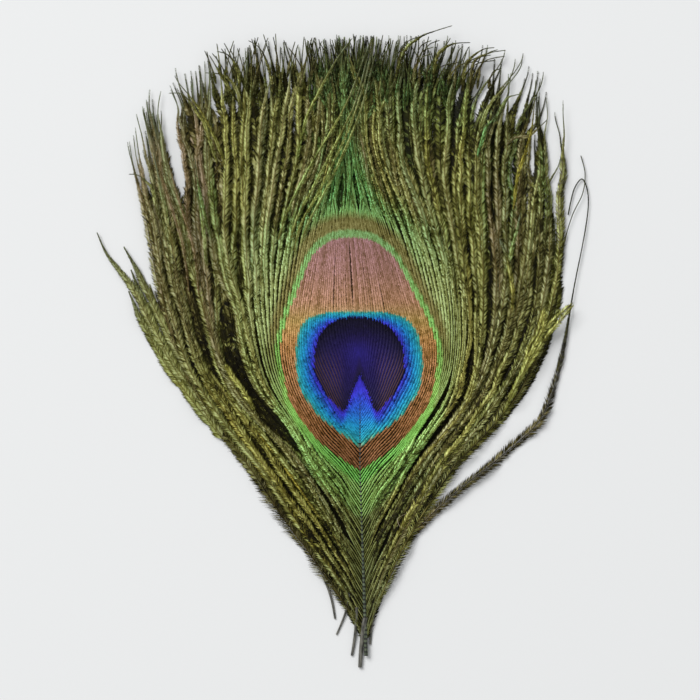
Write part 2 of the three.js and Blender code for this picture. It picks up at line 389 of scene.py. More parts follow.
def through(points, where):
    """Places on the smooth curve through the points, where 0 is the first and 1 the second."""
    points = np.asarray(points, float)
    last = len(points) - 1
    where = np.clip(where, 0, last)
    first = np.minimum(where.astype(int), last - 1)
    f = (where - first).reshape(-1, *[1] * (points.ndim - 1))
    before, here, there, after = (points[np.clip(first + k, 0, last)] for k in (-1, 0, 1, 2))
    slope = there - before
    bend = 2 * before - 5 * here + 4 * there - after
    twist = 3 * here - before - 3 * there + after
    return here + 0.5 * f * (slope + f * (bend + f * twist))


def wander(rng, rows, columns, knots):
    """Smooth random runs between about -1 and 1: a row for each barb, aimed anew at each knot."""
    aims = rng.uniform(-1, 1, (knots + 1, rows))
    return through(aims, np.linspace(0, knots, columns)).T


def evenly(courses, steps):
    """The same courses with their points at even distances."""
    made = []
    for course in courses:
        reached = np.append(0, np.cumsum(np.linalg.norm(np.diff(course, axis=0), axis=1)))
        at = np.linspace(0, reached[-1], steps)
        made.append(np.stack([np.interp(at, reached, axis) for axis in course.T], 1))
    return np.array(made)


def eye_ring(x, y):
    """Which band of the eye a place is in: 0 to 1 in the dark heart, to 2 in the blue, to 3 in the
    copper, to 4 in the green line, to 5 in the bronze band, and more in the plumes outside it."""
    bearing = np.degrees(np.arctan2(y, np.abs(x)))
    radii = [np.full(x.shape, 1e-6)]
    for outline in (HEART, BLUE, COPPER):
        fine = through(outline, np.linspace(0, len(outline) - 1, OUTLINE_POINTS))
        turn = np.degrees(np.arctan2(fine[:, 1], fine[:, 0]))
        order = np.argsort(turn)
        radii.append(np.interp(bearing, turn[order], np.hypot(*fine.T)[order]))
    for widths in (GREEN_LINE, BRONZE_BAND):
        radii.append(radii[-1] + np.interp(bearing, *zip(*widths)))
    distance = np.hypot(x, y)
    ring = distance / radii[1]
    for number in range(1, 5):
        inner, outer = radii[number], radii[number + 1]
        ring = np.where(distance >= inner, number + (distance - inner) / (outer - inner), ring)
    ring = np.where(distance >= radii[5], 5 + (distance - radii[5]) / PLUME_RING, ring)
    # Below the notch of the heart the blue runs further down before it turns to cyan.
    slow = 1 + rise(-bearing, 50, 82)
    ring = np.where((ring > 1) & (ring < 2), 1 + np.clip(ring - 1, 0, 1) ** slow, ring)
    # Above the heart the blue is left out, and only the pale rim of its band shows.
    rim = rise(bearing, 45, 75) * ((ring >= 1) & (ring < 2))
    return ring + rim * 0.6 * (2 - ring)


def near_root(path):
    """1 along the first stretch of barbs that grow below the eye, and 0 further out."""
    out = np.hypot(path[..., 0], path[..., 1] - path[:, :1, 1])
    return fall(out, 11, 21) * rise(-path[:, :1, 1], 22, 27)


def unit(vectors):
    """The same vectors, each of length 1."""
    return vectors / np.linalg.norm(vectors, axis=-1, keepdims=True)


def part_barbs(flat, roots, side, under):
    """Pushes neighbouring barbs of one side apart at the partings."""
    along = np.gradient(flat, axis=1)
    inward = unit(np.stack([-along[..., 1], along[..., 0]], -1))
    for its_side, root, lowest, highest, push, felt, to_floor in PARTINGS:
        if its_side == side and (to_floor or not under):
            reach = 0.3 * (highest - lowest)
            y = flat[..., 1]
            window = rise(y, lowest, lowest + reach) * fall(y, highest - reach, highest)
            above = roots - root
            share = push * np.sign(above) * np.exp(-((above / felt) ** 2))
            flat = flat + inward * (window * share[:, None])[..., None]
    return flat


def lay_barbs(rng, roots, side, steps, level, shortfall, under=False):
    """Centre lines of barbs from their roots' Y, with how loose they are along them, where each
    one's root is from 0 to 1, how high it ranks among those that overlap, and its own tone."""
    leading = np.array(OUTER_BARBS[side] + EYE_BARBS)
    shares = np.interp(roots, leading[:, 0, 1], np.linspace(0, 1, len(leading)))
    stations = through(leading, shares * (len(leading) - 1))
    count = len(roots)
    low = fall(shares, 0.1, 0.45)
    uneven = shortfall * (1 + 1.8 * low + rise(shares, 0.6, 0.8))
    ends = 1.005 - uneven * rng.uniform(0, 1, count) ** 2
    ends -= 0.15 * under * fall(shares, 0.08, 0.22)
    ends = (len(stations[0]) - 1) * ends
    courses = [through(s, np.linspace(0, end, COURSE_POINTS)) for s, end in zip(stations, ends)]
    flat = evenly(courses, steps)
    s = np.linspace(0, 1, steps)
    out, y = flat[..., 0], flat[..., 1]
    ring = eye_ring(out, y)
    share = shares[:, None]
    later = 0.03 + 0.07 * share + 0.09 * rise(share, 0.15, 0.35) * fall(share, 0.55, 0.7)
    loose = rise((s - later) / (0.11 + 0.38 * share), 0, 1)
    beside = rise(out, 1.3, 4.2) * fall(y, -22, -10)
    # Beside the eye they stay zipped a little further out, most of all on the right.
    upper = rise(y, -18, 0)
    satin = rise(y, -10, 2) * fall(y, 16, 30) * (0.65 + 0.35 * side)
    loose_from, loose_by = 3.3 + 1.3 * upper + 0.9 * satin, 4.4 + 2.5 * upper + 2.2 * satin
    loose = np.maximum(loose, beside) * rise(ring, loose_from, loose_by)
    late = rise(s, 0.55, 1.0) * loose

    # Neighbouring barbs hang together in locks, which are thick as ropes in the lower vane, and
    # each barb also goes its own way.
    lock = np.interp(shares, *zip(*LOCKS)) + rng.uniform(-0.2, 0.2, count)
    lock = np.floor(lock).astype(int)
    rim = np.zeros(count)
    for number in set(lock):
        members = lock == number
        rim[members] = np.abs(np.linspace(-1, 1, members.sum() + 2)[1:-1])
        pull = rng.uniform(0.8, 1) * (0.5 + 0.35 * fall(shares[members].mean(), 0.1, 0.6))
        centre = rise(shares[members].mean(), 0.7, 0.8)
        pull = (pull - 0.1 * centre) * (1 - 0.8 * (1 - centre) * rise(s, 0.4, 0.8))[:, None]
        pull = pull * (0.2 if under else 1)
        middle = flat[members].mean(0)
        flat[members] += pull * loose[members][..., None] * (middle - flat[members])
    lock = np.unique(lock, return_inverse=True)[1]
    locks = lock.max() + 1
    shared = wander(rng, locks, steps, 5)[lock]
    curl = 0.7 * rng.normal(0, 1, locks)[lock] + 0.8 * rng.normal(0, 1, count)
    sway = 0.6 * shared * loose + 0.4 * wander(rng, count, steps, 9) * loose
    sway += 0.16 * wander(rng, count, steps, 26) * loose
    own = 0.8 * rng.normal(0, 1, count)[:, None] * rise(s, 0.45, 1)
    sway += own * fall(share, 0.7, 0.9)
    sway *= 0.35 if under else 1
    sway += 1.6 * curl[:, None] * rise(s, 0.8, 1) ** 2 * loose
    sway += 3 * rng.normal(0, 1, count)[:, None] * rise(s, 0.74, 1) * rise(share, 0.68, 0.95)
    # At the upper right the tips are swept over to the right.
    sweep = rise(shares, 0.2, 0.32) * fall(shares, 0.55, 0.7) * (side > 0)
    sweep = sweep * rng.uniform(0, 1, count) ** 1.5
    sway += side * 4.2 * sweep[:, None] * rise(s, 0.88, 1) ** 1.5
    flat[..., 0] += sway
    flat = part_barbs(flat, roots, side, under)

    # How high each barb ranks, which sets its height and its painted light and shade: the rims of the
    # locks, and every second barb low down, rank lower.
    rank = 0.5 * rng.uniform(0, 1, count) + 0.5 * rng.uniform(0, 1, locks)[lock]
    rank *= 1 - 0.7 * np.maximum(low, rise(shares, 0.7, 0.8)) * rim ** 2
    rank = (rank * (1 - 0.5 * low * (np.arange(count) % 2)))[:, None]
    tone = (0.8 * rng.normal(0, 1, locks)[lock] + 0.5 * rng.normal(0, 1, count))[:, None]
    out, y = flat[..., 0], flat[..., 1]
    face = vane_height(out, y) * (0.45 if under else 1)
    height = face * (1 + loose * (level[0] + (level[1] - level[0]) * rank - 1))
    height += (0.1 if under else 0.35) * loose * wander(rng, count, steps, 6)
    height += 0.8 * rng.uniform(-0.6, 1, count)[:, None] * late ** 2
    path = np.stack([middle_line(y) + side * out, y, np.clip(height, *HEIGHT_LIMITS)], -1)
    return path, loose, share, rank, tone


def colour_barbs(rng, path, loose, share, rank, tone, painted_depth_shade=0.0):
    """What colours the barbules, place by place: the ring, greenness and gold that pick the colour,
    the shade that darkens it, which holds their grain and painted light and shade by how deep they
    lie, how much painted shade darkens each barbule's end, how much of the brown stem shows, and how
    slate-coloured the tip is."""
    count, steps = loose.shape
    s = np.linspace(0, 1, steps)[None]
    x = path[..., 0] - middle_line(path[..., 1])
    y = path[..., 1]
    # Each barb's bands lie a little out of step with its neighbours'.
    stepped = rng.normal(0, 0.05, (count, 1)) + rng.normal(0, 0.04, (count, steps))
    distance = np.maximum(np.hypot(x, y), 1e-6)
    ring = eye_ring(x * (1 + stepped / distance), y * (1 + stepped / distance))

    # Parts of the vane that have a look of their own.
    low = fall(share, 0.12, 0.5) * fall(y, -16, 14)
    high = rise(share, 0.7, 0.85)
    far_left = rise(-x, 22, 31) * rise(y, -10, 6)
    pale = rise(-x, 25, 33) * rise(y, 24, 36)
    top_right = rise(x, 4, 10) * fall(x, 24, 30)
    in_copper = (ring > 2) * (ring < 3)
    upper_copper = in_copper * rise(y, 4, 10)
    # Above the eye only a cone is emerald, which comes to a point on the middle line.
    off_cone = rise(np.abs(x) - 0.38 * (43 - y), -0.6, 2.2) * rise(y, 22, 29)
    off_cone = off_cone * rise(ring, 5.2, 8.5)
    # Brown stripes run through the lower lobes of the heart.
    heart_lines = rise(np.abs(x), 2.5, 5) * fall(y, -4, 1.5) * (ring < 1)

    # Barbs beside the eye and by the shaft are green, and so are the tips at the top.
    faded = rise(y, 8, 34) * fall(share, 0.72, 0.88) * rise(ring, 5.5, 9)
    beside_eye = rise(share, 0.4, 0.62) * (1 - faded)
    by_shaft = 0.9 * np.exp(-((s / 0.14) ** 2))
    green = np.maximum(beside_eye, by_shaft) * (1 - 0.5 * rise(y, 41, 48))
    green = green * (1 - 0.65 * off_cone) + 0.14 * rng.normal(0, 1, (count, 1))
    green = np.clip(green + 0.1 * wander(rng, count, steps, 9), 0, 1)
    green = np.maximum(green, np.maximum(0.8 * high, 0.45 * top_right) * rise(y, 38, 48))

    # Low barbs are golden, most of all on the right, and the far left is a rosy brown.
    golden = low * np.where(x > 0, 1.05, 0.6)
    gold = 0.5 * golden + (0.22 + 0.2 * golden) * tone + 0.2 * wander(rng, count, steps, 7)
    gold -= 0.45 * far_left + 0.55 * fall(share, 0.07, 0.14) * fall(y, -10, 10)
    gold -= 0.4 * pale
    gold -= 0.1 * rise(y, -5, 20)

    shade = np.interp(ring, *zip(*SHADE_BY_RING))
    shade -= 0.09 * in_copper * rise(x, 2, 9) * fall(y, 2, 10)
    shade += 0.07 * rng.normal(0, 1, (count, 1)) * upper_copper
    # Beside the shaft and above the eye every second barb is darker.
    second = np.maximum(rise(-y, 21, 28), near_root(path)) * fall(s, 0.2, 0.5)
    second *= rise(ring, 3.6, 4.6)
    second += 0.4 * rise(ring, 3, 4.2) * fall(ring, 6, 8) * rise(y, 14, 20)
    shade -= 0.32 * second * (np.arange(count) % 2)[:, None]
    # Grain from barbule to barbule, along each barb, and from barb to barb: partly their own tone, and
    # partly painted glints, with bright beads along the loose stretches.
    by_root = fall(s, 0.12, 0.3) * rise(ring, 5, 6)
    rough = np.interp(ring, *zip(*GRAIN_BY_RING)) - 0.06 * upper_copper
    grain = 0.6 * rng.normal(0, 1, (count, steps)) + 0.9 * wander(rng, count, steps, steps // 3)
    shade = shade + (rough + 0.06 * by_root) * grain + 0.12 * loose * wander(rng, count, steps, 40)
    shade += 0.1 * rng.normal(0, 1, (count, 1)) * rise(ring, 3, 6) + 0.06 * far_left
    shade += 0.14 * rise(-x, 13, 18) * rise(x, -31, -24) * rise(y, -4, 4)
    # Painted light: in the low ropes the barbs that lie highest are lighter.
    shade += (0.1 + 0.2 * rank) * low * loose
    # Painted shade: the barbs that lie deepest are darkest, and the under barbs darker still.
    shade -= (0.26 + 0.4 * low + 0.24 * high) * (1 - rank) * loose + painted_depth_shade * (1 - 0.5 * pale)
    lower_face = near_root(path) * rise(ring, 3, 3.6) * fall(-y, 28, 37)
    shade += 0.15 * pale - 0.02 * loose * rise(y, 0, 20) + 0.16 * lower_face
    shade += 0.18 * high * rise(ring, 4.5, 6) * (1 - off_cone) - 0.04 * high * rise(y, 44, 54)
    shade += ((0.17 + 0.1 * (x > 0)) * heart_lines - 0.3 * rise(y, 0, 5.5)) * (ring < 1)
    shade += 0.1 * (ring > 1) * (ring < 1.7) * rise(-y, 6, 9) * fall(np.abs(x), 2, 4)

    # In the lower half of the eye and beside it painted shade darkens each barbule's end more, and the
    # eye barbs' barbules end short there too, so dark lines show.
    below = rise(-y, 6, 16)
    lined = fall(ring, 6 + 4 * below, 8 + 5 * below)
    lined *= rise(ring, 1.9, 2.1) * fall(y, -1, 10)
    lined = np.maximum(lined, rise(ring, 4.0, 4.8) * rise(y, 18, 24))
    lined = np.maximum(lined, 1.1 * rise(-y, 20, 27) * (1 - 0.5 * loose))
    # Painted shade at the barbules' ends, by ring, which draws the dark lines between the barbs.
    edge = np.interp(ring, *zip(*END_SHADE_BY_RING))
    edge = np.maximum(edge, 0.9 * lined) * (1 - 0.5 * loose * rise(s, 0.86, 0.96))
    edge *= 1 - 0.25 * low * loose - 0.2 * loose * rise(y, 0, 20)
    edge *= 1 - 0.25 * (ring > 3) * (ring < 4) * (y > -14) - 0.2 * in_copper

    bare = np.maximum(0.8 * loose, 0.9 * heart_lines)
    tip = rise(s, 0.9, 0.985) * rise(y, 5, 25) * (1 - 0.6 * rise(share, 0.6, 0.8))
    shade = np.clip(np.maximum(shade, 0.4 * tip), 0.02, 1)
    return ring, green, np.clip(gold, -1, 1), shade, edge, bare, tip


def make_barbs(name, path, look, fluff, rng, material):
    """One mesh of barbs: each has a ridged stem and a row of barbules down each side of it."""
    ring, green, gold, shade, edge, bare, tip = np.broadcast_arrays(*look)
    length, breadth, splay, twist = np.broadcast_arrays(*fluff)
    count, steps = length.shape
    ahead = unit(np.gradient(path, axis=1))
    across = unit(np.cross(ahead, (0, 0, 1)))
    up = np.cross(across, ahead)
    cos, sin = np.cos(twist)[..., None], np.sin(twist)[..., None]
    across, up = across * cos + up * sin, up * cos - across * sin
    zone = np.stack([ring, green, gold], -1)

    points, faces, uvs, zones, shade_stem_tips = [], [], [], [], []
    total = 0
    row = np.arange(count)[:, None] / count
    cell = np.arange(steps)[None] / steps
    for hand in (-1, 1):
        lean = splay + rng.normal(0, 0.09, (count, steps))
        droop = rng.normal(-0.25, 0.12, (count, steps))
        long = (length * rng.uniform(0.75, 1.15, (count, steps)))[..., None]
        # Speckled lightness: partly each barbule's own tone and partly painted glints.
        speck = 0.7 * rng.normal(0, 1, (count, steps)) + wander(rng, count, steps, steps // 4)
        own = np.clip(shade * (1 + 0.5 * edge * speck), 0.02, 1)
        way = np.cos(lean)[..., None] * ahead + hand * np.sin(lean)[..., None] * across
        way = way + droop[..., None] * up
        # Each barbule is a flat leaf, pointed at both ends and widest just below its middle.
        spread = ahead - np.sum(ahead * way, 2, keepdims=True) * way
        spread *= breadth[..., None] / 2 / np.linalg.norm(spread, axis=2, keepdims=True)
        middle = path + 0.45 * long * way
        corners = [path, middle - spread, path + long * way, middle + spread]
        points.append(np.stack(corners[::hand], 2).reshape(-1, 3))
        faces.append(total + np.arange(count * steps * 4).reshape(-1, 4))
        total += count * steps * 4
        near, far = (0.4, 0.0) if hand < 0 else (0.6, 1.0)
        box = [(0, near), (1, near), (1, far), (0, far)]
        uv = [np.broadcast_arrays(cell + u / steps, row + v / count) for u, v in box]
        uvs.append(np.stack([np.stack(pair, -1) for pair in uv[::hand]], 2).reshape(-1, 2))
        zones.append(np.repeat(zone.reshape(-1, 3), 4, 0))
        # Painted shade: each barbule is a little darker at its root and darkest at its end, where the
        # gaps between the barbs are.
        lit = [own * (1 - 0.3 * edge), own, own * (1 - edge), own]
        lit = np.stack(lit[::hand], 2)
        shade_stem_tip = np.stack([lit, 0 * lit, np.repeat(tip[..., None], 4, 2)], -1)
        shade_stem_tips.append(shade_stem_tip.reshape(-1, 3))

    # The stem is a low ridge along the middle of the barb.
    at = np.arange(0, steps, STEM_EVERY)
    half = STEM_HALF_WIDTH * across[:, at]
    stem = path[:, at]
    grid = np.stack([stem - half, stem + STEM_HEIGHT * up[:, at], stem + half], 2)
    number = total + np.arange(count * len(at) * 3).reshape(count, len(at), 3)
    quads = [number[:, :-1, :-1], number[:, :-1, 1:], number[:, 1:, 1:], number[:, 1:, :-1]]
    points.append(grid.reshape(-1, 3))
    faces.append(np.stack(quads, -1).reshape(-1, 4))
    strip = np.zeros((count, len(at), 3, 2))
    strip[..., 0] = (at / steps)[None, :, None]
    strip[..., 1] = row[..., None] + np.array([0.4, 0.5, 0.6]) / count
    quads = [strip[:, :-1, :-1], strip[:, :-1, 1:], strip[:, 1:, 1:], strip[:, 1:, :-1]]
    uvs.append(np.stack(quads, 3).reshape(-1, 2))
    zones.append(np.repeat(zone[:, at, None], 3, 2).reshape(-1, 3))
    # Painted shade darkens the stem as it does the barbules' roots, and a bare stem is a little
    # darker.
    lit = shade * (1 - 0.3 * edge) * (1 - 0.2 * bare)
    shade_stem_tip = np.stack([lit, bare, tip], -1)[:, at]
    shade_stem_tips.append(np.repeat(shade_stem_tip[:, :, None], 3, 2).reshape(-1, 3))

    points, faces = np.concatenate(points) * MM, np.concatenate(faces)
    points[:, 2] = np.maximum(points[:, 2], FLOOR_CLEARANCE * MM)
    mesh = bpy.data.meshes.new(name)
    mesh.vertices.add(len(points))
    mesh.vertices.foreach_set("co", points.ravel())
    mesh.loops.add(faces.size)
    mesh.loops.foreach_set("vertex_index", faces.ravel())
    mesh.polygons.add(len(faces))
    mesh.polygons.foreach_set("loop_start", np.arange(0, faces.size, 4))
    mesh.update(calc_edges=True)
    mesh.uv_layers.new(name="OFBake").data.foreach_set("uv", np.concatenate(uvs).ravel())
    # Each point's zone, and its shade value with painted shade, bare stem and slate tip.
    for attribute, values in (("zone", zones), ("shade_stem_tip", shade_stem_tips)):
        layer = mesh.attributes.new(attribute, "FLOAT_VECTOR", "POINT")
        layer.data.foreach_set("vector", np.concatenate(values).ravel())
    mesh.shade_smooth()
    piece = bpy.data.objects.new(name, mesh)
    bpy.context.collection.objects.link(piece)
    dress(piece, material)


def barb_keratin():
    """Keratin barbules: melanin-brown strips whose stacked rods reflect one colour for each band of
    the eye, with a soft metallic gloss. The colours come from the ring number, and the grain and the
    painted light and shade from each barbule's own shade value."""
    material, tree, shader = new_material("structural-colour barb keratin")
    zone = add_node(tree, "Attribute", attribute_name="zone").outputs["Vector"]
    ring, green, gold = add_node(tree, "SeparateXYZ", {0: zone}).outputs
    shade_stem_tip = add_node(tree, "Attribute", attribute_name="shade_stem_tip").outputs["Vector"]
    shade, bare, tip = add_node(tree, "SeparateXYZ", {0: shade_stem_tip}).outputs
    place = add_node(tree, "TexCoord").outputs["Object"]
    along = add_node(tree, "SeparateXYZ", {0: place}).outputs["Y"]

    eye_bottom, eye_top = COPPER[0][1] * MM, COPPER[-1][1] * MM
    heart_and_blue = ramp(tree, ring, 0.0, 2.0, [
        (0.0, "33288e"), (0.2, "2c2068"), (0.42, "2a2252"), (0.495, "171134"), (0.505, "4c40f4"),
        (0.57, "3a5ef0"), (0.67, "2e82ea"), (0.77, "26a6e2"), (0.9, "2eb8d2"), (1.0, "4cbda0"),
    ])
    copper = ramp(tree, along, eye_bottom, eye_top, [
        (0.0, "ac7858"), (0.2, "cc9064"), (0.4, "ffbe90"), (0.54, "fcbe84"), (0.64, "e2c080"),
        (0.72, "dcaa92"), (0.85, "ca9a9a"), (1.0, "be909c"),
    ])
    green_line = ramp(tree, along, eye_bottom, eye_top, [
        (0.0, "98fc84"), (0.35, "bcfc8c"), (0.55, "a8f084"), (1.0, "96c888"),
    ])
    outer_band = ramp(tree, along, eye_bottom, eye_top, [
        (0.0, "c0fc9c"), (0.35, "caf2a0"), (0.5, "aeba78"), (0.6, "9c965c"), (1.0, "a09c66"),
    ])
    plume = ramp(tree, gold, -1.0, 1.0, [
        (0.0, "b8a68c"), (0.25, "b8b68a"), (0.5, "c4cc88"), (0.75, "d0ce74"), (1.0, "dccf58"),
    ])
    leaf = ramp(tree, along, -56 * MM, 56 * MM, [
        (0.0, "949c74"), (0.2, "9eb074"), (0.27, "c6f4b0"), (0.42, "d0eea4"), (0.62, "d4eaa8"),
        (0.7, "bce8a4"), (0.78, "98f49c"), (0.86, "94dc92"), (0.92, "7cb878"), (1.0, "6a9c6c"),
    ])
    plume = blend(tree, green, plume, leaf)
    # Each band from the ring where it starts, and how softly it does.
    layers = [(2, 0.03, copper), (3, 0.02, green_line), (4, 0.12, outer_band), (5, 0.3, plume)]
    colour = heart_and_blue
    for start, spread, layer in layers:
        colour = blend(tree, remap(tree, ring, start - spread, start + spread), colour, layer)
    stem = blend(tree, 0.5, colour, linear_colour("8a6248"))
    colour = blend(tree, bare, colour, stem)
    colour = blend(tree, tip, colour, linear_colour("84907a"))
    # Painted shadows between the barbs are warm, but in the heart and the blue they are neutral.
    cold = ramp(tree, shade, 0.0, 1.0, [
        (0.0, "0e0c0c"), (0.25, "403e40"), (0.5, "929092"), (0.75, "cccccc"), (1.0, "ffffff"),
    ])
    warm = ramp(tree, shade, 0.0, 1.0, [
        (0.0, "120e02"), (0.25, "423d14"), (0.5, "9a946c"), (0.75, "d4d0bc"), (1.0, "ffffff"),
    ])
    shadow = blend(tree, remap(tree, ring, 1.9, 2.1), cold, warm)
    colour = blend(tree, 1.0, colour, shadow, "MULTIPLY")
    tree.links.new(colour, shader.inputs["Base Color"])
    grain = add_node(tree, "TexNoise", {"Vector": place, "Scale": 1 / (GLOSS_GRAIN * MM)})
    roughness = remap(tree, grain.outputs["Fac"], 0.0, 1.0, *BARB_ROUGHNESS)
    tree.links.new(roughness, shader.inputs["Roughness"])
    shader.inputs["Metallic"].default_value = BARB_METALLIC
    shader.inputs["IOR"].default_value = KERATIN_IOR
    shader.inputs["Specular IOR Level"].default_value = BARB_SPECULAR
    return material


barb_material = barb_keratin()

UNDER_SEED = 51
UNDER_STEPS = 340
UNDER_SPACING = 0.6
UNDER_LEVELS = (0.5, 0.9)  # lowest and highest of the loose ones, in shares of the vane's height
UNDER_SHORTFALL = 0.09  # the share by which they may fall short of the leading barbs
under_roots = np.arange(LOWEST_ROOT, HIGHEST_ROOT, UNDER_SPACING)
for side, word in SIDES:
    rng = np.random.default_rng(UNDER_SEED + side)
    laid = lay_barbs(
        rng, under_roots, side, UNDER_STEPS, UNDER_LEVELS, UNDER_SHORTFALL, under=True
    )
    path, loose, share = laid[:3]
    y = path[..., 1]
    s = np.linspace(0, 1, UNDER_STEPS)[None]
    # Painted shade darkens them, less on their loose stretches, most of all above the eye, and less on
    # the lowest of them.
    lit = (0.2 + 0.24 * rise(share, 0.5, 0.8)) * loose * rise(y, 0, 30)
    painted_depth_shade = (0.66 - lit) * (0.45 + 0.55 * rise(share, 0.0, 0.16)) + 0.14 * (1 - loose)
    look = colour_barbs(rng, *laid, painted_depth_shade=painted_depth_shade)
    upper = rise(y, -8, 14)
    length = (1.25 + 0.65 * upper) * (1 - 0.93 * rise(s, *BARBULE_TAPER))
    fluff = (length, 0.32 + 0.18 * upper, 0.7, 0.0)
    make_barbs(f"under_barbs_{word}", path, look, fluff, rng, barb_material)

# ---- Plume barbs ----
# The lower barbs miss the eye. They are longer and looser, and their barbules are longer too, so
# each looks like a narrow frond; they lie over each other and part into a fringe at their tips.

PLUME_SEED = 31
BARB_STEPS = 560  # barbules along each barb, on each side of it
BARB_SHORTFALL = 0.05
PLUME_LEVELS = (0.6, 1.7)
EYE_LOWEST_ROOT = -33
plume_roots = np.arange(LOWEST_ROOT, EYE_LOWEST_ROOT, BARB_SPACING)
for side, word in SIDES:
    rng = np.random.default_rng(PLUME_SEED + side)
    laid = lay_barbs(rng, plume_roots, side, BARB_STEPS, PLUME_LEVELS, BARB_SHORTFALL)
    path, loose, share = laid[:3]
    look = colour_barbs(rng, *laid)
    s = np.linspace(0, 1, BARB_STEPS)[None]
    # The lowest have the longest barbules, and the very lowest look hairy at first.
    lowest = fall(share, 0.0, 0.3)
    hairy = fall(share, 0.02, 0.1) * fall(s, 0.4, 0.7)
    length = 0.22 + 0.05 * rise(s, 0.08, 0.2) + 0.87 * loose * (1 - 0.4 * near_root(path))
    length += 0.5 * lowest * loose * fall(s, 0.3, 0.6) + 0.5 * hairy
    length += 0.3 * loose * rise(s, 0.4, 0.6) * fall(s, 0.7, 0.85)
    length *= 1 + 0.15 * loose * wander(rng, *loose.shape, 45)
    length *= 1 - 0.86 * rise(s, *BARBULE_TAPER)
    twist = 0.6 * loose * wander(rng, *loose.shape, 24)
    fluff = (length, 0.2 - 0.09 * hairy, 0.64 + 0.2 * hairy, twist)
    make_barbs(f"plume_barbs_{word}", path, look, fluff, rng, barb_material)

# ---- Eye barbs ----
# The upper barbs of each side run beside and through the eye. Their short barbules are zipped edge
# to edge there, in one colour for each band, and they part into loose plumes above it.

EYE_SEED = 11
EYE_LEVELS = (0.7, 1.6)
# The barbs' roots lie closer together towards the notch of the eye.
CLOSE_LOWEST_ROOT = -17.2
CLOSE_SPACING = 0.55
eye_roots = np.arange(EYE_LOWEST_ROOT, CLOSE_LOWEST_ROOT, BARB_SPACING)
eye_roots = np.append(eye_roots, np.arange(CLOSE_LOWEST_ROOT, HIGHEST_ROOT, CLOSE_SPACING))
for side, word in SIDES:
    rng = np.random.default_rng(EYE_SEED + side)
    laid = lay_barbs(rng, eye_roots, side, BARB_STEPS, EYE_LEVELS, BARB_SHORTFALL)
    path, loose, share = laid[:3]
    look = colour_barbs(rng, *laid)
    ring, edge = look[0], look[4]
    x, y = path[..., 0], path[..., 1]
    s = np.linspace(0, 1, BARB_STEPS)[None]
    # Where painted shade darkens the barbules' ends they are shorter too, so the dark lines are narrow
    # slits.
    beside = rise(np.abs(x), 5, 9) * rise(y, -4, 8)
    length = 0.6 - 0.1 * rise(ring, 1.9, 2.1) - 0.33 * edge * (1 - 0.8 * beside)
    length += (0.8 - 0.3 * rise(share, 0.8, 0.95)) * loose * (1 - 0.75 * near_root(path))
    # Above the eye they are short again, so the barbs run as fine lines up to the fringe.
    above = rise(share, 0.56, 0.74) * rise(y, 16, 24)
    length -= 0.45 * loose * above * fall(y, 40, 49)
    length *= 1 + 0.15 * loose * wander(rng, *loose.shape, 45)
    length *= 1 - 0.86 * rise(s, *BARBULE_TAPER)
    twist = 0.6 * loose * wander(rng, *loose.shape, 24)
    fluff = (length, 0.26 - 0.06 * loose, 0.75 - 0.1 * loose, twist)
    make_barbs(f"eye_barbs_{word}", path, look, fluff, rng, barb_material)

# ---- Loose barbs ----
# Single barbs have come out of the vane. Some lie across it or curl at its rim, and some stand off
# its sides, with longer and sparser barbules that leave their last stretch bare.

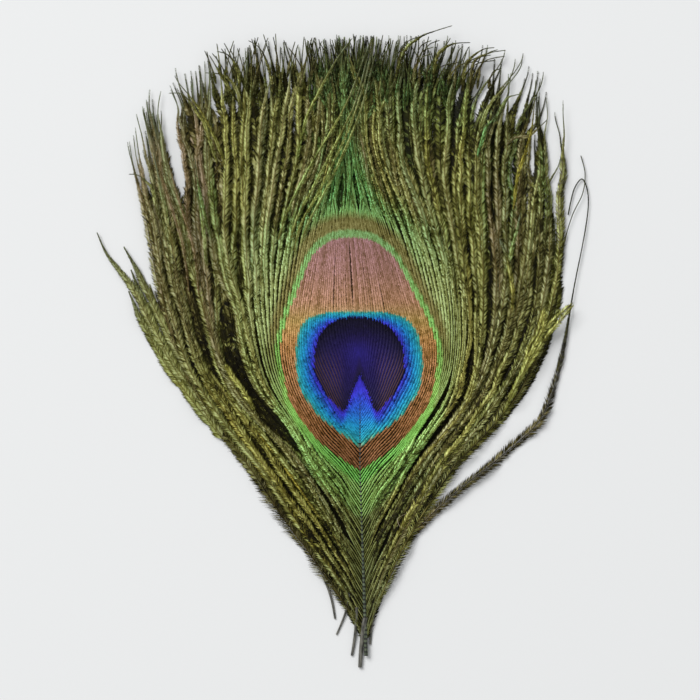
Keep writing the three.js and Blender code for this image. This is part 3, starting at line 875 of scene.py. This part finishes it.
# Barbs on top of the vane, as points (X, Y) from root to tip, with greenness and gold.
CROSSING_BARBS = [
    ([(-16, 22), (-14.2, 27.5), (-10.6, 34.6), (-5.6, 43.2), (-2, 50), (2, 60.6)], 0.35, 0.3),
    ([(-12, 19), (-10.4, 24.4), (-6, 33), (-1.6, 42.6), (0.9, 49.8), (3.2, 59)], 0.3, 0.2),
    ([(-12.9, 19.8), (-11.5, 24.9), (-7.1, 33), (-2.4, 43.2), (0.2, 50.4), (2.7, 60.4)], 0.3, 0.4),
    ([(-13.9, 20.5), (-12.3, 26), (-8.3, 33.8), (-3.4, 43.2), (-0.6, 49.6), (1.6, 58)], 0.3, 0.3),
    ([(-12.8, 36), (-10.8, 44.7), (-8.2, 50.4), (-5.3, 55.9), (-1.6, 61.2)], 0.4, 0.4),
    ([(-28, 37), (-29, 40.2), (-30.5, 44.6), (-32, 46.9), (-34.5, 50.2), (-37.3, 50.5)], 0.1, 0.1),
    ([(-26.5, 37), (-28.3, 41.7), (-30.5, 46.1), (-32.8, 49.4), (-35.3, 52.4), (-36.2, 54)], 0.1, 0.3),
    ([(-23.2, 46), (-23.9, 50.5), (-25.7, 53.4), (-27.6, 54.3), (-30.2, 54.5)], 0.1, -0.2),
    ([(-23.4, 50), (-23.9, 55.2), (-25.7, 57.9), (-27.9, 58.7)], 0.1, -0.1),
    ([(-24, 49), (-25.4, 51.2), (-27.6, 54.9), (-29.4, 57.9)], 0.1, 0.0),
    ([(-16.8, 48), (-17.3, 53.4), (-18.4, 57.1), (-19.9, 59.6), (-21.8, 60.8)], 0.1, -0.2),
    ([(-39.4, 26), (-40.4, 31.1), (-41.5, 33), (-43.4, 34.5), (-45.1, 34.7)], 0.1, -0.3),
    ([(6.6, 52), (8.6, 58.6), (11.5, 61.3), (14.5, 62.6), (18, 63.7)], 0.3, 0.0),
    ([(14.2, 53), (15, 57.5), (16.3, 59.1), (18.5, 60.2), (21.5, 60.4)], 0.1, -0.2),
    ([(20, 51), (20.7, 56.2), (23.7, 58.9), (26.2, 59.4)], 0.1, -0.3),
    ([(21.4, 50), (22.2, 56.3), (25.1, 58.3), (28.4, 58.9)], 0.1, -0.4),
    ([(23, 38), (24.4, 43.2), (25.9, 45.3), (27.3, 47.6)], 0.9, 0.0),
    ([(28.4, 15), (29.5, 19.4), (30.6, 23.7), (31.4, 27.1)], 0.8, 0.2),
    ([(30, 28), (30.8, 34.7), (32.5, 39.5), (33.7, 44.6), (34.3, 53.1)], 0.1, 0.9),
    ([(28.2, 40), (30.2, 41.7), (33.2, 42.4), (36.5, 45.3)], 0.1, -0.8),
    ([(26, 44), (28.4, 49.1), (30.2, 50.1), (31.7, 50.3)], 0.5, -0.4),
    ([(29.8, 8), (29.8, 12), (28.8, 18.2), (27.3, 22)], 0.2, 0.5),
    ([(27.8, -12.5), (32.6, -1.9), (35.5, 3.6), (38.1, 6.5), (41.4, 9.5)], 0.5, 0.7),
    ([(31.4, -6), (33, 0.7), (34.7, 3.6), (35.9, 8.4)], 0.4, 0.8),
    ([(29, -9), (33.4, -1.6), (36.4, 2.9), (39, 6), (41.6, 9)], 0.5, 0.9),
    ([(30.2, -8), (33.6, 0.2), (35.6, 4.2), (36.4, 7.6)], 0.5, 0.9),
    ([(-20.4, -12), (-22.9, -7.4), (-24.7, -5.1), (-26.2, -2.6)], 0.4, 0.9),
    ([(-33.5, 12), (-34.7, 21), (-39.2, 35.7), (-41.2, 43.6), (-41.8, 47.1)], 0.0, -1.0),
    ([(-31.5, 10), (-32.4, 20), (-35.7, 30.8), (-38.1, 39.6), (-39.2, 45.5)], 0.0, -0.9),
    ([(-29, 22), (-30.4, 26.9), (-31.6, 32.8), (-32.2, 37.7)], 0.5, -0.5),
    ([(-30, 16), (-30.4, 22), (-31.2, 28), (-32.8, 34)], 0.4, -0.2),
]
BROAD_BARBS = 5  # the first of them, above the eye, which keep more of their barbules
# Barbs off the sides, as points (X, Y) from root to tip, with their barbules' length, the share of
# the barb that carries them, gold and lightness.
STRAY_BARBS = [
    ([(-27, -16.5), (-36.5, -3), (-41.5, 6.5), (-45.2, 13.5), (-49.5, 19), (-51.5, 23.3)],
     1.3, 0.98, -0.2, 0.8),
    ([(-26, -15), (-34, -3), (-39.5, 7), (-42.5, 13.5), (-46.2, 20.5)], 1.5, 1.0, -0.3, 0.8),
    ([(-27, -15), (-36.5, -2), (-41.5, 7.5), (-44.8, 16)], 1.5, 1.0, -0.1, 0.75),
    ([(-27, -17), (-37, -4), (-42, 4.5), (-45.3, 11.8)], 1.5, 1.0, 0.1, 0.75),
    ([(3, -42.5), (10.8, -34.9), (18.8, -27.4), (27.6, -20.5), (35.3, -13.1), (39, -3.2), (42, 13),
      (44.7, 27.9), (43.8, 33.7), (42, 32), (40.8, 27)], 1.75, 0.7, -0.9, 0.32),
    ([(39, 18), (41.5, 26.5), (43.6, 31), (44.1, 35), (43.3, 38.4)], 0.4, 0.3, -0.6, 0.5),
]
CROSSING_SEED = 71
CROSSING_POINTS = 90
CROSSING_STEPS = 150
ON_TOP = 1.9  # how far the listed ones rise above the vane
# Tips strewn by the loops: how many, between which X, and their bend as (across, up).
SWEPT_TIPS, SWEPT_X = 16, (6, 27)
SWEPT_BENDS = [(0, 0), (0.15, 0.55), (0.45, 0.88), (1, 1)]
CROSSED_TIPS, CROSSED_X = 95, (-29, 19)
CROSSED_BENDS = [(0, 0), (0.3, 0.4), (0.62, 0.72), (1, 1)]
STRAY_SEED = 72
STRAY_POINTS = 120
STRAY_STEPS = 900
STRAY_HEIGHT = 0.8


def flat_courses(routes, points, steps):
    """Smooth courses through the routes' points, at even distances, which still lie at height 0."""
    courses = evenly([through(r, np.linspace(0, len(r) - 1, points)) for r in routes], steps)
    return np.concatenate([courses, np.zeros((len(routes), steps, 1))], 2)


def loose_look(rng, path, green, gold, fluffy, lightness):
    """What colours loose barbs, in colour_barbs' order: each has its own greenness, gold and
    lightness, and barbules up to the share called fluffy."""
    count, steps = path.shape[:2]
    s = np.linspace(0, 1, steps)[None]
    ring = eye_ring(path[..., 0], path[..., 1])
    # Grain along each barb: partly its own tone and partly painted glints.
    grain = 0.6 * rng.normal(0, 1, (count, steps)) + 0.9 * wander(rng, count, steps, steps // 3)
    shade = lightness + 0.18 * grain + 0.1 * wander(rng, count, steps, 12)
    gold = gold[:, None] + 0.15 * wander(rng, count, steps, 5)
    tip = rise(s, fluffy - 0.35, fluffy + 0.05) * (path[:, -1:, 1] > 10)
    shade = np.clip(shade, 0.05, 1)
    return np.maximum(ring, 6), green[:, None], gold, shade, 0.6, 0.8, tip


rng = np.random.default_rng(CROSSING_SEED)
crossing = list(CROSSING_BARBS)
raised = [ON_TOP] * len(crossing)
# At the upper right a tuft of thin tips is swept over to the right.
for x in rng.uniform(*SWEPT_X, SWEPT_TIPS):
    lean, tall = rng.uniform(1.5, 6.5), rng.uniform(6, 10.5) - 0.13 * (x - SWEPT_X[0])
    route = [(x + lean * across, 51.5 + tall * up) for across, up in SWEPT_BENDS]
    crossing.append((route, 0.25, rng.uniform(-1, -0.2)))
    raised.append(rng.uniform(0.7, 1.4))
# All along the top, more thin dark tips lie criss-cross among the others.
for x in rng.uniform(*CROSSED_X, CROSSED_TIPS):
    lean, top = rng.uniform(-3.6, 3.6), rng.uniform(59.2, 62.4) - 0.14 * max(-16 - x, x - 9, 0)
    foot = rng.uniform(47, 54.5)
    route = [(x + lean * across, foot + (top - foot) * up) for across, up in CROSSED_BENDS]
    crossing.append((route, 0.85 if x > -10 else 0.3, rng.uniform(-0.8, 0.0)))
    raised.append(rng.uniform(0.3, 1.3))
routes, green, gold = zip(*crossing)
count = len(routes)
path = flat_courses(routes, CROSSING_POINTS, CROSSING_STEPS)
s = np.linspace(0, 1, CROSSING_STEPS)[None]
raised = np.array(raised)[:, None]
lift = raised * rise(s, 0.0, 0.25) + 0.2 * wander(rng, count, CROSSING_STEPS, 5)
path[..., 2] = vane_height(path[..., 0], path[..., 1]) + lift
# Those whose tips hang over the rim are darker than the ones on the vane.
tip_x, tip_y = path[:, -1:, 0], path[:, -1:, 1]
over_rim = rise(tip_y, 53, 57) * (np.abs(tip_x) > 6) * (raised == ON_TOP)
lightness = 0.34 + 0.21 * raised - 0.24 * over_rim
fluffy = np.full((count, 1), 0.9)
look = loose_look(rng, path, np.array(green), np.array(gold), fluffy, lightness)
# Their barbules thin out along them, sooner on the tips in the fringe.
slimmer = np.where(np.arange(count) < BROAD_BARBS, 0.45, 0.8)[:, None]
from_here = np.where(raised < ON_TOP, 0.05, 0.4)
thin = 1 - slimmer * rise(s, from_here, from_here + 0.45) * rise(tip_y, 15, 35)
length = (1.1 - 0.3 * rise(tip_y, 15, 35)) * thin * (1 - 0.7 * rise(s, 0.9, 1))
length *= rise(s, -0.1, 0.12)
fluff = (length, 0.17, 0.55, 0.5 * wander(rng, count, CROSSING_STEPS, 7))
make_barbs("crossing_barbs", path, look, fluff, rng, barb_material)

rng = np.random.default_rng(STRAY_SEED)
routes, *values = zip(*STRAY_BARBS)
longest, fluffy, gold, lightness = np.array(values)[..., None]
count = len(routes)
path = flat_courses(routes, STRAY_POINTS, STRAY_STEPS)
s = np.linspace(0, 1, STRAY_STEPS)[None]
path[..., 2] = STRAY_HEIGHT + 0.3 * wander(rng, count, STRAY_STEPS, 5)
look = loose_look(rng, path, np.full(count, 0.15), gold[:, 0], fluffy, lightness)
length = longest * (1 - 0.94 * rise(s, fluffy - 0.3, fluffy + 0.02)) + 0.1
fluff = (length, 0.17, 0.66, 0.6 * wander(rng, count, STRAY_STEPS, 14))
make_barbs("stray_barbs", path, look, fluff, rng, barb_material)

# One short curl of down has come off and lies on the vane, to the right of the shaft.
HAIR_COURSE = [(9.6, -30.9), (9.4, -31.4), (7.8, -32.2), (7.3, -32.8), (7.8, -34.1), (9, -34.7)]
HAIR_RINGS = 24
HAIR_RADIUS = 0.05
HAIR_LIFT = 0.75
hair = through(HAIR_COURSE, np.linspace(0, len(HAIR_COURSE) - 1, HAIR_RINGS))
hair = np.column_stack([hair, vane_height(*hair.T) + HAIR_LIFT])
loose_hair = round_rod("loose_hair", hair, np.full(HAIR_RINGS, HAIR_RADIUS))
dress(loose_hair, rod_keratin("down keratin", "8c7a64", "b4a48e"))
